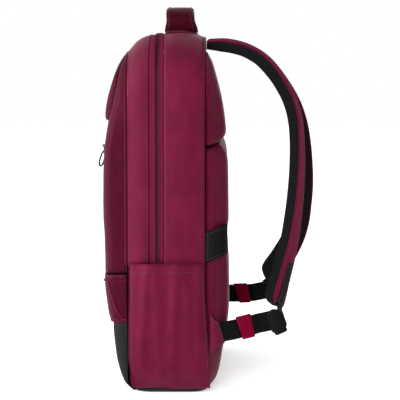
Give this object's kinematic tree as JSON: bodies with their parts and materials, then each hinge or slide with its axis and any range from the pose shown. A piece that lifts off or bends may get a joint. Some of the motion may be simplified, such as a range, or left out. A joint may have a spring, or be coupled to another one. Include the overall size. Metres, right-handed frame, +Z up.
{
  "type": "travel backpack",
  "caption": "Upright travel backpack with fold-forward front, laptop sleeve, side pockets, grab handle, luggage band and padded shoulder straps.",
  "frame": {"origin": "centre of the flat underside of the base panel", "axes": "+X to the side that carries the front zip, +Y towards the wearer's back and the shoulder straps, +Z up; the front of the bag faces -Y"},
  "size_m": [0.3208, 0.2817, 0.4838],
  "materials": {
    "claret_cloth": "satin coated polyester",
    "dark_claret_cloth": "matte lining cloth",
    "black_coated": "black coated cloth",
    "black_webbing": "ribbed webbing",
    "black_mesh": "spacer mesh",
    "black_plastic": "satin moulded",
    "grey_lining": "matte lining cloth",
    "foam": "closed-cell foam",
    "board": "smooth sheet",
    "zip_metal": "dark plated",
    "zip_tape": "woven tape with coil"
  },
  "bodies": {
    "bag": {"rear_gusset": "claret_cloth", "lower_back_pad": "claret_cloth", "upper_back_pad": "claret_cloth", "lower_side_panel_right": "claret_cloth", "lower_side_panel_left": "claret_cloth", "side_pocket_right": "claret_cloth", "side_pocket_left": "claret_cloth", "lower_front_pocket": "claret_cloth", "handle_foot_right": "claret_cloth", "handle_foot_left": "claret_cloth", "wing_right": "claret_cloth", "wing_left": "claret_cloth", "back_wall": "dark_claret_cloth", "lower_front_wall": "dark_claret_cloth", "base_panel": "black_coated", "front_boot": "black_coated", "luggage_band": "black_webbing", "laptop_strap": "black_webbing", "lower_webbing_right": "black_webbing", "lower_webbing_left": "black_webbing", "laptop_divider": "grey_lining", "base_board": "board", "frame_sheet": "board", "main_zip_rear_half": "zip_tape"},
    "front": {"front_gusset": "claret_cloth", "front_wall": "dark_claret_cloth", "front_pocket": "claret_cloth", "hood_pocket": "claret_cloth", "badge": "black_plastic", "organiser_panel": "grey_lining", "front_zip": "zip_tape", "main_zip_front_half": "zip_tape"},
    "main_slider": {"main_slider": "zip_metal"},
    "main_pull": {"main_pull": "black_plastic"},
    "front_slider": {"front_slider": "zip_metal"},
    "front_pull": {"front_pull_tab": "zip_metal", "front_pull_cord": "black_webbing"},
    "handle": {"grab_handle": "claret_cloth"},
    "strap_right": {"strap_shell_right": "claret_cloth", "strap_foam_right": "foam", "strap_mesh_right": "black_mesh", "strap_tab_right": "black_webbing", "ladder_lock_right": "black_plastic", "webbing_tail_right": "black_webbing"},
    "strap_left": {"strap_shell_left": "claret_cloth", "strap_foam_left": "foam", "strap_mesh_left": "black_mesh", "strap_tab_left": "black_webbing", "ladder_lock_left": "black_plastic", "webbing_tail_left": "black_webbing"},
    "keeper_right": {"keeper_right": "claret_cloth"},
    "keeper_left": {"keeper_left": "claret_cloth"}
  },
  "joints": [
    {"name": "front_fold", "type": "hinge", "parent": "bag", "child": "front", "pos_m": [0, -0.0866, 0.1517], "axis": [1, 0, 0], "range_deg": [0, 95]},
    {"name": "main_slider_travel", "type": "slide", "parent": "bag", "child": "main_slider", "axis": [0, 0, 1], "range_m": [0, 0.175]},
    {"name": "main_pull_swing", "type": "hinge", "parent": "main_slider", "child": "main_pull", "pos_m": [-0.1538, -0.0192, 0.19], "axis": [0, 1, 0], "range_deg": [0, 120]},
    {"name": "front_slider_travel", "type": "slide", "parent": "front", "child": "front_slider", "axis": [0, -0.0207, -0.9998], "range_m": [0, 0.11]},
    {"name": "front_pull_swing", "type": "hinge", "parent": "front_slider", "child": "front_pull", "pos_m": [0.062, -0.0902, 0.306], "axis": [-1, 0, 0], "range_deg": [0, 150]},
    {"name": "handle_rock", "type": "hinge", "parent": "bag", "child": "handle", "pos_m": [0, 0.0095, 0.4525], "axis": [1, 0, 0], "range_deg": [-12, 12], "stiffness_Nm_per_rad": 0.3},
    {"name": "strap_swing_right", "type": "hinge", "parent": "bag", "child": "strap_right", "pos_m": [0, 0.0416, 0.4353], "axis": [1, 0, 0], "range_deg": [-1.5, 9], "stiffness_Nm_per_rad": 0.6, "springref_deg": 5.16},
    {"name": "strap_swing_left", "type": "hinge", "parent": "bag", "child": "strap_left", "pos_m": [0, 0.0416, 0.4353], "axis": [1, 0, 0], "range_deg": [-1.5, 9], "stiffness_Nm_per_rad": 0.6, "springref_deg": 5.16},
    {"name": "keeper_slide_right", "type": "slide", "parent": "bag", "child": "keeper_right", "axis": [-0.5689, 0.8143, 0.1152], "range_m": [-0.008, 0.004]},
    {"name": "keeper_slide_left", "type": "slide", "parent": "bag", "child": "keeper_left", "axis": [0.5689, 0.8143, 0.1152], "range_m": [-0.008, 0.004]}
  ]
}
